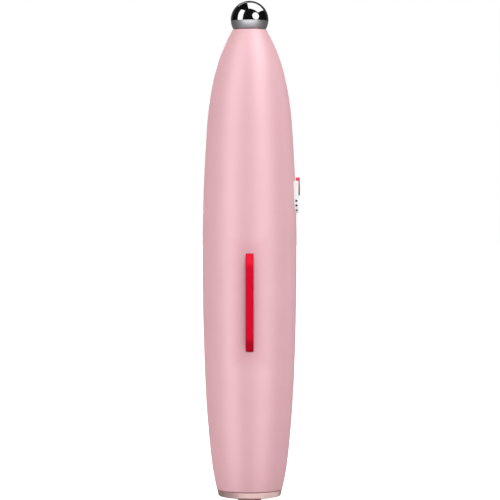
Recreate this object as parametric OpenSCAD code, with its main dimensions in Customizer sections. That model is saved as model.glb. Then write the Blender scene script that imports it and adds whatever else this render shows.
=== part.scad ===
// Facial pen with a metal ball tip, a long front push bar, a side slide switch and a screwed tail cap.
// Frame: +Z runs up the pen's axis to the tip, the front is -Y, and z = 0 is the tail cap's flat rim face.

/* [Outline] */
// Largest radius of the body
body_r = 14.1; // [12.5:0.1:17]
// Height of the largest radius above the rim face
belly_z = 72; // [66:0.5:80]
// Height of the body's nose end
body_top = 139.15; // [132:0.05:168]
// Height of the body's tail end
body_low = 1.6; // [1.4:0.1:2]
// Radius of the body at the tail end
tail_end_r = 9.8; // [9.5:0.05:11.8]
// Slope of the outline at the nose end, in degrees from the axis
nose_slope = 29; // [26:0.5:31]
// Slope where the nose arc meets the shoulder arc
shoulder_slope = 11.7; // [10:0.1:14]
// Slope where the shoulder arc meets the long arc of the upper body
upper_slope = 4.2; // [3:0.1:5]
// Radius of the nose arc as a share of the shoulder arc's
nose_arc_share = 0.59; // [0.4:0.01:0.9]
// Slope of the outline at the tail end, in degrees from the axis
tail_slope = 13.5; // [12:0.5:15]
// Slope where the tail arc meets the hip arc
hip_slope = 6.4; // [5:0.1:8]
// Slope where the hip arc meets the long arc of the lower body
lower_slope = 2.3; // [1.6:0.1:3]
// Radius of the tail arc as a share of the hip arc's
tail_arc_share = 0.23; // [0.15:0.01:0.5]

/* [Shells] */
// Wall of the two half shells
wall = 1.8; // [1.5:0.1:2.1]
// Rounding of the shells' two end edges
end_edge = 0.3; // [0.2:0.05:0.4]
// Radius of the pins that line the halves up
locator_r = 0.45; // [0.35:0.05:0.5]
// Length of the pins that line the halves up
locator_len = 1.6; // [1.2:0.1:2]

/* [Ball tip] */
// Radius of the polished ball
ball_r = 5.64; // [5.4:0.02:6.2]
// Height of the ball's centre above the nose end
ball_rise = 3.05; // [2.8:0.05:3.4]
// How far the collar's upper edge lies below the ball's centre
collar_drop = 0.45; // [0.2:0.05:0.6]
// How far the collar's foot lies inside the edge of the nose end
collar_inset = 0.25; // [0.1:0.05:0.4]
// Thickness of the seal under the collar
seal_t = 0.2; // [0.15:0.05:0.3]
// Radius of the ball's threaded stud
stud_r = 1.5; // [1.3:0.05:1.6]
// Radius of the nose bush's spigot
bush_r = 2.5; // [2.3:0.05:2.7]
// Depth of the solid nose behind its end face
nose_depth = 5; // [4.5:0.1:6]
// Gap between the nose bush's flange and the shells' wall
bush_flange_gap = 0.8; // [0.5:0.05:1]
// Thickness of the nose bush's flange
bush_flange_t = 1.6; // [1.2:0.1:2]
// Width across the flats of the stud's nut
nut_flats = 5.5; // [5:0.1:6]
// Height of the stud's nut
nut_h = 2.4; // [2:0.1:2.8]

/* [Front bar] */
// Width of the push bar
bar_w = 2.1; // [1.8:0.1:2.6]
// Height of the push bar's lower end
bar_low = 43.6; // [41:0.1:47]
// Length of the push bar
bar_len = 28.8; // [26:0.1:31]
// How far the bar stands out of the body
bar_proud = 1.8; // [1.4:0.1:2.2]
// How far the bar's two ends stand out of the body
bar_end_proud = 0.4; // [0.2:0.1:0.6]
// Length of the slope at each end of the bar
bar_slope_len = 3.4; // [3:0.1:4]
// Travel of the push bar
bar_travel = 0.5; // [0.3:0.05:0.6]
// Width of the flange that holds the bar in
bar_flange_w = 5.2; // [4.8:0.1:5.6]
// Thickness of the bar's flange
bar_flange_t = 0.8; // [0.6:0.05:0.9]
// Thickness of the flat seat for the bar, at the wall by the bar's lower end
bar_pad_t = 0.2; // [0.1:0.05:0.4]
// Thickness of the gasket under the bar's flange
bar_gasket_t = 0.3; // [0.2:0.05:0.4]
// Distance from each end of the bar to its key switch
key_inset = 5; // [4:0.1:6]

/* [Side switch] */
// Height of the switch plate's lower end
plate_low = 84.3; // [83:0.1:86]
// Length of the switch plate
plate_len = 9.7; // [9.6:0.1:10.8]
// Width of the switch plate
plate_w = 8; // [6.4:0.1:8.2]
// How far the plate stands out of the body, at the plate's lower end
plate_proud = 0.6; // [0.4:0.05:0.8]
// Thickness of the switch plate
plate_t = 1.9; // [1.85:0.05:2.1]
// Radius of the plate's lower corners
plate_corner = 3; // [2.4:0.1:3.2]
// Width of the slot that the slider's web runs in
slot_w = 2.4; // [2.2:0.1:2.8]
// Travel of the slider
slide_travel = 4.2; // [3.6:0.1:4.4]
// Width of the slider's thumb plate
thumb_w = 4; // [3.6:0.1:4.6]
// Thickness of the slider's thumb plate
thumb_t = 0.4; // [0.35:0.05:0.6]
// Length of the slider's thumb plate
thumb_len = 5.4; // [5:0.1:5.6]
// Height of the slider's thumb rest above the plate's upper end
thumb_rest_h = 1.05; // [0.9:0.05:1.3]
// Width of the slider's web
web_w = 2; // [1.8:0.1:2]
// Length of the slider's web along the travel
web_len = 1.9; // [1.6:0.1:2]
// Radius of an index dot
dot_r = 0.28; // [0.2:0.02:0.34]
// Depth of an index dot
dot_depth = 0.4; // [0.3:0.05:0.6]
// Distance from one index dot to the next
dot_pitch = 1.35; // [1.2:0.05:1.4]
// Height of the lowest index dot above the plate's lower end
dot_first = 1; // [0.9:0.05:1.3]

/* [Tail] */
// Rounding of the tail cap's lower edge
cap_edge = 0.5; // [0.4:0.05:0.6]
// How much the cap's side draws in from the seam to its lower edge
cap_taper = 0.3; // [0.2:0.05:0.4]
// Thickness of the tail cap's floor
cap_floor = 1.5; // [1.3:0.05:1.5]
// Wall of the shells round the tail bush
tail_wall = 2; // [1.8:0.05:2.2]
// Wall of the threaded tail bush
bush_wall = 1.15; // [1:0.05:1.3]
// Wall of the tail cap's threaded spigot
spigot_wall = 1.15; // [0.9:0.05:1.2]
// Height of the top of the spigot
spigot_top = 9.4; // [9:0.1:9.6]
// Pitch of the tail cap's thread
thread_pitch = 1.25; // [1:0.05:1.5]
// Turns that free the tail cap
thread_turns = 2; // [1:1:2]
// Radius of the tail button
button_r = 3.5; // [3:0.1:3.8]
// How far the tail button stands out below the rim face
button_proud = 2; // [1.5:0.1:2.4]
// Travel of the tail button
button_travel = 1.2; // [0.8:0.1:1.4]
// Thickness of the tail button's flange
button_flange_t = 0.8; // [0.6:0.1:0.9]
// Height of the underside of the tail switch
module_low = 5; // [4.6:0.1:5.2]
// Height of the tail switch
module_h = 3; // [2.6:0.1:3.1]

/* [Battery] */
// Radius of the battery cell
cell_r = 5.25; // [5:0.05:5.3]
// Length of the battery cell without its positive tip
cell_len = 43.5; // [36:0.5:44]
// Height of the battery cell's lower end
cell_low = 11.6; // [11.4:0.1:12]

/* [Board and frame] */
// Gap between the battery tube and the back of the circuit board
board_gap = 0.2; // [0.1:0.05:0.4]
// Thickness of the circuit board
board_t = 1; // [0.8:0.1:1.2]
// Width of the circuit board
board_w = 13; // [12:0.5:14]
// Height of the circuit board's lower edge
board_low = 40; // [38:0.5:41]
// Least distance between the circuit board's upper corners and the shells' wall
board_clear = 0.8; // [0.6:0.05:1.2]
// Wall of the battery tube in the frame
tube_wall = 0.95; // [0.8:0.05:1]
// Diameter of the insulated leads
lead_d = 1; // [0.8:0.1:1.2]

/* [Fits] */
// Gap between fixed parts that are slid together
fit_gap = 0.1; // [0.08:0.01:0.12]
// Gap between running parts
run_gap = 0.05; // [0.03:0.01:0.06]
// Gap round the bar and at the seam above the tail cap
seam_gap = 0.12; // [0.1:0.01:0.15]

/* [Hidden] */

pink = [0.88, 0.69, 0.72];
crimson = [0.86, 0.02, 0.19];
hot_pink = [1, 0.37, 0.5];
champagne = [0.86, 0.76, 0.74];
mauve = [0.56, 0.42, 0.42];
steel = [0.78, 0.78, 0.8];
brass = [0.8, 0.66, 0.36];
white = [0.93, 0.94, 0.94];
charcoal = [0.15, 0.15, 0.16];
board_green = [0.1, 0.36, 0.24];

// Facets of revolved faces, of the outline's long arcs, and of the bar's front
round_fn = 96;
arc_fn = 720;
bar_fn = 720;
// Facets of small round parts
small_fn = 32;
// Reach of the solids that cut the body in half or clear it
far = 200;
// How far cutting shapes run past what they cut
past = 1;

// Unit vector at angle a from the radius, upwards
function dir(a) = [cos(a), sin(a)];

// Radius of the body at the nose end, which the collar's foot sits on
nose_end_r = sqrt(pow(ball_r, 2) - pow(ball_rise - seal_t, 2)) + collar_inset;

// Radii of the three arcs from an end of the outline to its widest point, end arc first: the width and height
// that they cover, the slopes at their outer ends, and the end arc's radius as a share of the next one's
function three_arcs(width, height, a, b, c, share) =
  let (
    across = share * (cos(b) - cos(a)) + cos(c) - cos(b),
    along = share * (sin(a) - sin(b)) + sin(b) - sin(c),
    det = across * sin(c) - along * (1 - cos(c)),
    middle = (width * sin(c) - height * (1 - cos(c))) / det
  )
  [share * middle, middle, (across * height - along * width) / det];

nose_arcs = three_arcs(
  body_r - nose_end_r,
  body_top - belly_z,
  nose_slope,
  shoulder_slope,
  upper_slope,
  nose_arc_share
);
upper_c = [body_r - nose_arcs[2], belly_z];
shoulder_c = upper_c + (nose_arcs[2] - nose_arcs[1]) * dir(upper_slope);
nose_c = shoulder_c + (nose_arcs[1] - nose_arcs[0]) * dir(shoulder_slope);

tail_arcs = three_arcs(
  body_r - tail_end_r,
  belly_z - body_low,
  tail_slope,
  hip_slope,
  lower_slope,
  tail_arc_share
);
lower_c = [body_r - tail_arcs[2], belly_z];
hip_c = lower_c + (tail_arcs[2] - tail_arcs[1]) * dir(-lower_slope);
tail_c = hip_c + (tail_arcs[1] - tail_arcs[0]) * dir(-hip_slope);

// The outline's arcs from the tail up: centre, radius, angle at the lower end, angle at the upper end
ARCS = [
  [tail_c, tail_arcs[0], -tail_slope, -hip_slope],
  [hip_c, tail_arcs[1], -hip_slope, -lower_slope],
  [lower_c, tail_arcs[2], -lower_slope, 0],
  [upper_c, nose_arcs[2], 0, upper_slope],
  [shoulder_c, nose_arcs[1], upper_slope, shoulder_slope],
  [nose_c, nose_arcs[0], shoulder_slope, nose_slope]
];

// Heights between which an arc of the outline holds, when the outline is moved in by inset
function arc_low(i, inset) = i == 0 ? -far : ARCS[i][0][1] + (ARCS[i][1] - inset) * sin(ARCS[i][2]);
function arc_high(i, inset) =
  i == len(ARCS) - 1 ? far : ARCS[i][0][1] + (ARCS[i][1] - inset) * sin(ARCS[i][3]);

// Radius of the body at height z, when the outline is moved in by inset
function outline_r(z, inset = 0) = [
  for (i = [0:len(ARCS) - 1])
    if (z >= arc_low(i, inset) && z <= arc_high(i, inset))
      ARCS[i][0][0] + sqrt(pow(ARCS[i][1] - inset, 2) - pow(z - ARCS[i][0][1], 2))
][0];

// Flat region inside the outline, moved in by inset, from height low to height high
module outline(inset = 0, low = body_low, high = body_top) {
  for (i = [0:len(ARCS) - 1]) {
    z0 = max(low, arc_low(i, inset));
    z1 = min(high, arc_high(i, inset));
    if (z1 > z0)
      intersection() {
        translate(ARCS[i][0])
          circle(r = ARCS[i][1] - inset, $fn = arc_fn);
        polygon([[0, z0], [far, z0], [far, z1], [0, z1]]);
      }
  }
}

module revolved_outline(inset = 0, low = body_low, high = body_top, fn = round_fn) {
  rotate_extrude($fn = fn)
    outline(inset, low, high);
}

// One rounded end of the outline: its end plane z_end, the side on which the body lies, and its slope
module outline_end(z_end, side, slope) {
  z = z_end + side * end_edge;
  x = outline_r(z, end_edge);
  z_touch = z - side * end_edge * sin(slope);
  polygon([[0, z], [x, z], [x, z_end], [0, z_end]]);
  translate([x, z])
    circle(r = end_edge, $fn = small_fn);
  outline(0, min(z, z_touch), max(z, z_touch));
}

// The body's outside, with its two end edges rounded
module outer_form() {
  rotate_extrude($fn = round_fn)
    union() {
      outline(0, body_low + end_edge, body_top - end_edge);
      outline_end(body_low, 1, tail_slope);
      outline_end(body_top, -1, nose_slope);
    }
}

// A cylinder along Z from z0 to z1
module rod(r, z0, z1, fn = round_fn) {
  translate([0, 0, z0])
    cylinder(r = r, h = z1 - z0, $fn = fn);
}

// A ring along Z from z0 to z1
module ring(r_out, r_in, z0, z1) {
  difference() {
    rod(r_out, z0, z1);
    rod(r_in, z0 - past, z1 + past);
  }
}

// A cylinder along Y from y0 to y1, at x and z
module rod_y(r, x, z, y0, y1, fn = small_fn) {
  translate([x, y1, z])
    rotate([90, 0, 0])
      cylinder(r = r, h = y1 - y0, $fn = fn);
}

// A block between two corners
module block(low, high) {
  translate(low)
    cube(high - low);
}

// Steps along a lead, and sides of its section
lead_steps = 12;
lead_sides = 10;

// An insulated lead at x = 0 that leaves both ends upright and eases from one y to the other
module lead(low, high) {
  points = [
    for (i = [0:lead_steps], s = [0:lead_sides - 1])
      let (
        turn = 180 * i / lead_steps,
        across = high[0] - low[0],
        up = high[1] - low[1],
        centre = [low[0] + across * (1 - cos(turn)) / 2, low[1] + up * i / lead_steps],
        lean = atan(across * sin(turn) * PI / 2 / up),
        side = 360 * s / lead_sides
      )
      [
        lead_d / 2 * cos(side),
        centre[0] + lead_d / 2 * sin(side) * cos(lean),
        centre[1] - lead_d / 2 * sin(side) * sin(lean)
      ]
  ];
  walls = [
    for (i = [0:lead_steps - 1], s = [0:lead_sides - 1])
      let (t = (s + 1) % lead_sides, a = i * lead_sides)
      [a + s, a + lead_sides + s, a + lead_sides + t, a + t]
  ];
  foot = [for (s = [0:lead_sides - 1]) s];
  head = [for (s = [lead_sides - 1:-1:0]) lead_steps * lead_sides + s];
  polyhedron(points, concat(walls, [foot, head]));
}

// Sides and steps a turn of a coil spring
coil_sides = 8;
coil_steps = 20;

// A coil spring along Z, from z0 to z1 over the wire
module coil(r, wire, turns, z0, z1) {
  rings = turns * coil_steps;
  climb = (z1 - z0 - wire) / rings;
  points = [
    for (i = [0:rings], s = [0:coil_sides - 1])
      let (turn = 360 * i / coil_steps, side = 360 * s / coil_sides, out = r + wire / 2 * cos(side))
      [out * cos(turn), out * sin(turn), z0 + wire / 2 + climb * i + wire / 2 * sin(side)]
  ];
  sides = [
    for (i = [0:rings - 1], s = [0:coil_sides - 1])
      let (t = (s + 1) % coil_sides, a = i * coil_sides)
      each [[a + s, a + t, a + coil_sides + t], [a + s, a + coil_sides + t, a + coil_sides + s]]
  ];
  first = [for (s = [1:coil_sides - 2]) [0, s + 1, s]];
  last = rings * coil_sides;
  end = [for (s = [1:coil_sides - 2]) [last, last + s, last + s + 1]];
  polyhedron(points, concat(sides, first, end));
}

// The battery tube, and the circuit board in front of it

cell_gap = 0.2;
tube_in = cell_r + cell_gap;
tube_out = tube_in + tube_wall;
board_back_y = -tube_out - board_gap;
board_y = board_t - board_back_y;
board_corner_r = sqrt(pow(board_y, 2) + pow(board_w / 2, 2));
board_step = 0.5;
board_top = max([
  for (z = [belly_z:board_step:body_top - nose_depth])
    if (outline_r(z, wall) > board_corner_r + board_clear) z
]);

// Nose

nose_shoulder_z = body_top - nose_depth;
bush_bore = stud_r + run_gap;
ball_z = body_top + ball_rise;
collar_top = ball_z - collar_drop;
bush_low = nose_shoulder_z - bush_flange_t;
bush_flange_r = outline_r(nose_shoulder_z, wall) - bush_flange_gap;
terminal_t = 0.3;
washer_t = 0.5;
washer_slot = 0.4;
nut_top = bush_low - terminal_t - washer_t;
nut_low = nut_top - nut_h;
stud_past_nut = 2;
stud_low = nut_low - stud_past_nut;
terminal_r = 3.1;
terminal_tab_w = 2;
terminal_tab_y = 4.9;

module ball_electrode() {
  color(steel) {
    intersection() {
      translate([0, 0, ball_z])
        sphere(r = ball_r, $fn = round_fn);
      rod(ball_r + past, collar_top, ball_z + ball_r + past);
    }
    rod(stud_r, stud_low, ball_z);
  }
}

module electrode_collar() {
  color(steel)
    difference() {
      intersection() {
        translate([0, 0, ball_z])
          sphere(r = ball_r, $fn = round_fn);
        rod(ball_r + past, body_top + seal_t, collar_top);
      }
      rod(bush_bore, body_top, ball_z);
    }
}

module nose_seal() {
  color(charcoal)
    ring(nose_end_r - end_edge - fit_gap, bush_bore + fit_gap, body_top, body_top + seal_t);
}

module nose_bush() {
  color(brass)
    difference() {
      union() {
        rod(bush_r, bush_low, body_top - fit_gap);
        rod(bush_flange_r, bush_low, nose_shoulder_z);
      }
      rod(bush_bore, bush_low - past, body_top);
    }
}

module terminal_ring() {
  color(brass)
    difference() {
      union() {
        rod(terminal_r, bush_low - terminal_t, bush_low);
        block(
          [-terminal_tab_w / 2, -terminal_tab_y, bush_low - terminal_t],
          [terminal_tab_w / 2, 0, bush_low]
        );
      }
      rod(bush_bore, nut_low, ball_z);
    }
}

module spring_washer() {
  color(steel)
    difference() {
      ring(nut_flats / 2, bush_bore, nut_top, nut_top + washer_t);
      block([0, -washer_slot / 2, nut_low], [nut_flats, washer_slot / 2, ball_z]);
    }
}

module stud_nut() {
  color(steel)
    difference() {
      rod(nut_flats / sqrt(3), nut_low, nut_top, 6);
      rod(stud_r + run_gap / 2, nut_low - past, ball_z);
    }
}

// Length of a lead that lies against the board
lead_on_board = 4;

electrode_lead_low = board_top - lead_on_board;

// The lead from the back of the board to the terminal's tab
module electrode_lead() {
  color("red")
    lead(
      [board_back_y + lead_d / 2 + run_gap, electrode_lead_low],
      [-terminal_tab_y + lead_d / 2, bush_low - terminal_t]
    );
}

// Front bar

bar_high = bar_low + bar_len;
flange_past = 1.2;
flange_low = bar_low - flange_past;
flange_high = bar_high + flange_past;
bar_seat_y = outline_r(flange_low, wall) - bar_pad_t;
flange_front = -bar_seat_y + bar_gasket_t;
flange_back = flange_front + bar_flange_t;
pad_margin = 1;
key_z = [bar_low + key_inset, bar_high - key_inset];
key_case = 4.5;
key_case_t = 1.6;
key_stem_r = 1.1;
key_stem_in = 0.5;
key_stem_out = bar_travel + 2 * fit_gap;
key_face = -board_y - key_case_t;
post_front = key_face - key_stem_out;
post_r = 1.3;

// The space of the bar in the front wall, widened by gap, as far back as y
module bar_space(gap, y) {
  block([-bar_w / 2 - gap, -far, bar_low - gap], [bar_w / 2 + gap, y, bar_high + gap]);
}

// The wedge above the slope at an end of the bar, at height z, leaning up or down by side
module bar_slope(z, side) {
  y_end = -outline_r(z) - bar_end_proud;
  y_full = -outline_r(z + side * bar_slope_len) - bar_proud;
  rise = (y_end - y_full) / bar_slope_len;
  translate([far / 2, 0, 0])
    rotate([0, -90, 0])
      linear_extrude(far)
        polygon([
          [z - side * past, y_end + rise * past],
          [z + side * (bar_slope_len + past), y_full - rise * past],
          [z + side * (bar_slope_len + past), -far],
          [z - side * past, -far]
        ]);
}

module mode_bar() {
  color(crimson) {
    difference() {
      intersection() {
        bar_space(0, flange_back);
        revolved_outline(-bar_proud, bar_low - past, bar_high + past, bar_fn);
      }
      bar_slope(bar_low, 1);
      bar_slope(bar_high, -1);
    }
    block(
      [-bar_flange_w / 2, flange_front, flange_low],
      [bar_flange_w / 2, flange_back, flange_high]
    );
    for (z = key_z)
      rod_y(post_r, 0, z, flange_front, post_front);
  }
}

module bar_gasket() {
  color(charcoal)
    difference() {
      block([-bar_flange_w / 2, -bar_seat_y, flange_low], [bar_flange_w / 2, flange_front, flange_high]);
      bar_space(seam_gap * 2, flange_back);
    }
}

module key_switches() {
  color(charcoal)
    for (z = key_z)
      difference() {
        block([-key_case / 2, key_face, z - key_case / 2], [key_case / 2, -board_y, z + key_case / 2]);
        rod_y(key_stem_r + run_gap, 0, z, key_face - past, key_face + key_stem_in + bar_travel + fit_gap);
      }
}

module key_stems() {
  color(white)
    for (z = key_z)
      rod_y(key_stem_r, 0, z, post_front, key_face + key_stem_in);
}

// Side switch

plate_high = plate_low + plate_len;
plate_face_x = outline_r(plate_low) + plate_proud;
plate_floor_x = plate_face_x - plate_t;
thumb_inner_x = plate_face_x + run_gap;
thumb_outer_x = thumb_inner_x + thumb_t;
thumb_high = plate_high + thumb_rest_h;
thumb_low = thumb_high - thumb_len;
rest_gap = 0.15;
rest_inner_x = outline_r(plate_high) + rest_gap;
web_high = plate_high - fit_gap;
web_low = web_high - web_len;
slot_end_gap = 0.2;
slot_low = web_low - slide_travel - slot_end_gap;
carriage_t = 0.6;
carriage_w = 5.2;
carriage_gap = 0.15;
carriage_past = 0.5;
carriage_low = slot_low - carriage_past;
carriage_high = web_high + slide_travel + slot_end_gap;
carriage_out = sqrt(pow(outline_r(carriage_high, wall), 2) - pow(carriage_w / 2, 2)) - carriage_gap;
carriage_in = carriage_out - carriage_t;
web_past = 0.4;
web_end_x = carriage_in - web_past;
lever_rise = 2.1;
lever_z = web_high + lever_rise;
lever_w = 1;
lever_h = 1;
lever_tip_x = carriage_in - run_gap * 2;
fork_t = 0.5;
fork_len = 0.8;
side_board_x = board_w / 2 + fit_gap;
side_board_t = 0.8;
side_board_w = 9;
side_case_x = side_board_x + side_board_t;
side_case_t = 2;
side_case_w = 3.6;
side_case_h = 10;
side_case_z = lever_z - slide_travel / 2;
side_board_margin = 1.5;

// The plate's outline seen from the side, grown by gap, from x0 to x1
module plate_block(gap, x0, x1) {
  half = plate_w / 2 + gap;
  corner = plate_corner + gap;
  low = plate_low - gap;
  translate([x0, 0, 0])
    rotate([90, 0, 90])
      linear_extrude(x1 - x0)
        union() {
          translate([-half, low + corner])
            square([2 * half, plate_high + gap - low - corner]);
          translate([-half + corner, low])
            square([2 * (half - corner), corner]);
          for (side = [-1, 1])
            translate([side * (half - corner), low + corner])
              circle(r = corner, $fn = round_fn);
        }
}

// The slot for the slider's web, through the plate and the shells' wall
module slider_slot(x0, x1, high) {
  block([x0, -slot_w / 2, slot_low], [x1, slot_w / 2, high]);
}

// The index dots' bores, on the side of the plate that faces the front
module dot_rods() {
  for (i = [0:2]) {
    z = plate_low + dot_first + i * dot_pitch;
    drop = max(0, plate_low + plate_corner - z);
    y = -plate_w / 2 + plate_corner - sqrt(pow(plate_corner, 2) - drop * drop);
    x = (sqrt(pow(outline_r(z), 2) - y * y) + plate_face_x) / 2;
    rod_y(dot_r, x, z, y - past, y + dot_depth);
  }
}

module switch_plate() {
  color(white)
    difference() {
      plate_block(0, plate_floor_x, plate_face_x);
      slider_slot(plate_floor_x - past, plate_face_x + past, plate_high + past);
      dot_rods();
    }
}

module index_dots() {
  color(charcoal)
    intersection() {
      plate_block(0, plate_floor_x, plate_face_x);
      dot_rods();
    }
}

module slide_cap() {
  color(hot_pink) {
    block([thumb_inner_x, -thumb_w / 2, thumb_low], [thumb_outer_x, thumb_w / 2, thumb_high]);
    block([rest_inner_x, -web_w / 2, web_low], [thumb_outer_x, web_w / 2, thumb_high]);
    block([web_end_x, -web_w / 2, web_low], [thumb_outer_x, web_w / 2, web_high]);
  }
}

module slide_carriage() {
  color(white)
    difference() {
      union() {
        block([carriage_in, -carriage_w / 2, carriage_low], [carriage_out, carriage_w / 2, carriage_high]);
        for (side = [-1, 1])
          translate([0, 0, lever_z + side * (lever_h / 2 + run_gap + fork_t / 2)])
            block(
              [lever_tip_x - fork_len, -lever_w, -fork_t / 2],
              [carriage_out, lever_w, fork_t / 2]
            );
      }
      block(
        [web_end_x, -web_w / 2 - run_gap, web_low - run_gap],
        [carriage_out + past, web_w / 2 + run_gap, web_high + run_gap]
      );
    }
}

module slide_lever() {
  color(charcoal)
    block(
      [side_case_x + side_case_t / 2, -lever_w / 2, lever_z - lever_h / 2],
      [lever_tip_x, lever_w / 2, lever_z + lever_h / 2]
    );
}

module slide_switch() {
  color(steel)
    difference() {
      block(
        [side_case_x, -side_case_w / 2, side_case_z - side_case_h / 2],
        [side_case_x + side_case_t, side_case_w / 2, side_case_z + side_case_h / 2]
      );
      block(
        [
          side_case_x + side_case_t / 2 - run_gap,
          -lever_w / 2 - run_gap,
          lever_z - slide_travel - lever_h / 2 - run_gap * 2
        ],
        [side_case_x + side_case_t + past, lever_w / 2 + run_gap, lever_z + lever_h / 2 + run_gap * 2]
      );
    }
}

side_board_low = side_case_z - side_case_h / 2 - side_board_margin;
side_board_high = side_case_z + side_case_h / 2 + side_board_margin;
pin_pitch = 2;
pin_half = 0.25;
pin_in = 1.2;
pin_first = 2.5;
pin_z = side_board_low + pin_first;
side_board_front = -side_board_w / 2;

module side_board() {
  color(board_green)
    block(
      [side_board_x, side_board_front, side_board_low],
      [side_board_x + side_board_t, side_board_w / 2, side_board_high]
    );
}

// Square pins that join the side board's front edge to the back of the circuit board
module header_pins() {
  color(brass)
    for (i = [0:3])
      block(
        [side_board_x - 2 * pin_half - run_gap, board_back_y, pin_z + i * pin_pitch - pin_half],
        [side_board_x - run_gap, side_board_front + pin_in, pin_z + i * pin_pitch + pin_half]
      );
}

// Battery and its contacts

cell_high = cell_low + cell_len;
tip_r = 1.9;
tip_h = 1;
contact_low = cell_high + tip_h;
contact_t = 0.4;
contact_half = 3;
contact_tab_w = 2.4;

module battery_cell() {
  color("goldenrod")
    rod(cell_r, cell_low, cell_high);
}

module battery_tip() {
  color(steel)
    rod(tip_r, cell_high, contact_low);
}

module positive_contact() {
  color(brass) {
    block(
      [-contact_half, -contact_half, contact_low],
      [contact_half, contact_half, contact_low + contact_t]
    );
    block(
      [-contact_tab_w / 2, board_back_y, contact_low],
      [contact_tab_w / 2, 0, contact_low + contact_t]
    );
  }
}

// Inner frame and boards

tail_bore_r = tail_end_r - tail_wall;
cavity_low = 11;
foot_low = cavity_low + fit_gap;
foot_t = 1.2;
foot_land = 0.8;
foot_r = tail_bore_r + foot_land;
tube_top_t = 2;
spine_t = 1.4;
spine_back = board_back_y + spine_t;
spine_inset = 1;
spine_low = board_low + spine_inset;
spine_top = board_top - spine_inset;
frame_top = contact_low + contact_t + tube_top_t;
arm_inset = 8;
arm_z = [frame_top + arm_inset, board_top - arm_inset];
arm_half = 3.6;
arm_t = 1.2;
arm_pad_t = 1.5;
arm_back = 7.1;
boss_r = 2.3;
pilot_len = 4;
screw_r = 0.75;
pilot_r = screw_r;
head_r = 1.4;
head_h = 1.1;
access_r = 2.1;
board_screw_x = 4.6;
board_screw_inset = 3;
board_screw_z = [frame_top + board_screw_inset, board_top - board_screw_inset];
board_boss_r = 1.7;
board_boss_len = 2.6;
board_screw_len = 3.4;
holder_t = 1;

// A notch for a lead at x = 0, between two depths, from height low to height high
module lead_notch(low, y0, y1, high = far) {
  block([-lead_d / 2 - fit_gap, y0, low - fit_gap], [lead_d / 2 + fit_gap, y1, high]);
}

module inner_frame() {
  holder_x = side_board_x - holder_t;
  color(white)
    difference() {
      union() {
        rod(foot_r, foot_low, foot_low + foot_t);
        rod(tube_out, foot_low, frame_top);
        block([-board_w / 2, board_back_y, spine_low], [board_w / 2, spine_back, spine_top]);
        for (z = arm_z) {
          for (side = [-1, 1])
            block(
              [side * (arm_half - arm_t / 2) - arm_t / 2, board_back_y, z - arm_half],
              [side * (arm_half - arm_t / 2) + arm_t / 2, arm_back, z + arm_half]
            );
          block([-arm_half, arm_back - arm_pad_t, z - arm_half], [arm_half, arm_back, z + arm_half]);
        }
        for (side = [-1, 1], z = board_screw_z)
          rod_y(board_boss_r, side * board_screw_x, z, board_back_y, spine_back + board_boss_len);
        block([holder_x, board_back_y, side_board_low], [side_board_x, side_board_w / 2, side_board_high]);
      }
      rod(tube_in, foot_low - past, contact_low + contact_t);
      block(
        [-contact_tab_w / 2 - fit_gap, board_back_y - past, contact_low - fit_gap],
        [contact_tab_w / 2 + fit_gap, 0, contact_low + contact_t]
      );
      for (z = arm_z) {
        rod_y(access_r, 0, z, board_back_y - past, spine_back + past);
        rod_y(screw_r + fit_gap, 0, z, arm_back - arm_pad_t - past, arm_back + past);
      }
      for (side = [-1, 1], z = board_screw_z)
        rod_y(
          screw_r,
          side * board_screw_x,
          z,
          board_back_y - past,
          board_back_y + board_screw_len + fit_gap
        );
      lead_notch(electrode_lead_low, board_back_y - past, spine_back + past);
      lead_notch(foot_low - past, -far, return_lead_y + lead_d / 2 + fit_gap, foot_low + foot_t + past);
      for (i = [0:3])
        block(
          [
            side_board_x - 2 * pin_half - run_gap * 2,
            board_back_y - past,
            pin_z + i * pin_pitch - pin_half - run_gap
          ],
          [
            side_board_x + past,
            side_board_front + pin_in + run_gap,
            pin_z + i * pin_pitch + pin_half + run_gap
          ]
        );
    }
}

// Pan-head screws through the frame's arms into the rear shell
module frame_screws() {
  color(steel)
    for (z = arm_z) {
      rod_y(screw_r - run_gap, 0, z, arm_back - arm_pad_t - head_h, arm_back + pilot_len - fit_gap);
      rod_y(head_r, 0, z, arm_back - arm_pad_t - head_h, arm_back - arm_pad_t);
    }
}

module circuit_board() {
  color(board_green)
    difference() {
      block([-board_w / 2, -board_y, board_low], [board_w / 2, board_back_y, board_top]);
      for (side = [-1, 1], z = board_screw_z)
        rod_y(screw_r + fit_gap, side * board_screw_x, z, -board_y - past, board_back_y + past);
    }
}

module board_screws() {
  color(steel)
    for (side = [-1, 1], z = board_screw_z) {
      rod_y(screw_r - run_gap, side * board_screw_x, z, -board_y - head_h, board_back_y + board_screw_len);
      rod_y(head_r, side * board_screw_x, z, -board_y - head_h, -board_y);
    }
}

// A part on the front of the circuit board: its centre, width, height and thickness
module board_part(x, z, w, h, t) {
  block([x - w / 2, -board_y - t, z - h / 2], [x + w / 2, -board_y, z + h / 2]);
}

chip_rise = 9;
chip_w = 5;
chip_t = 0.9;
coil_rise = 18;
coil_w = 6;
coil_t = 2.6;
small_x = 4.8;
small_rise = 6;
small_pitch = 3.4;
small_w = 0.8;
small_h = 1.6;
small_t = 0.7;

module control_chip() {
  color(charcoal)
    board_part(0, bar_high + chip_rise, chip_w, chip_w, chip_t);
}

module output_coil() {
  color(charcoal)
    board_part(0, bar_high + coil_rise, coil_w, coil_w, coil_t);
}

module board_parts() {
  color("tan")
    for (i = [0:3], side = [-1, 1])
      board_part(side * small_x, bar_high + small_rise + i * small_pitch, small_w, small_h, small_t);
}

// Tail

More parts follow.
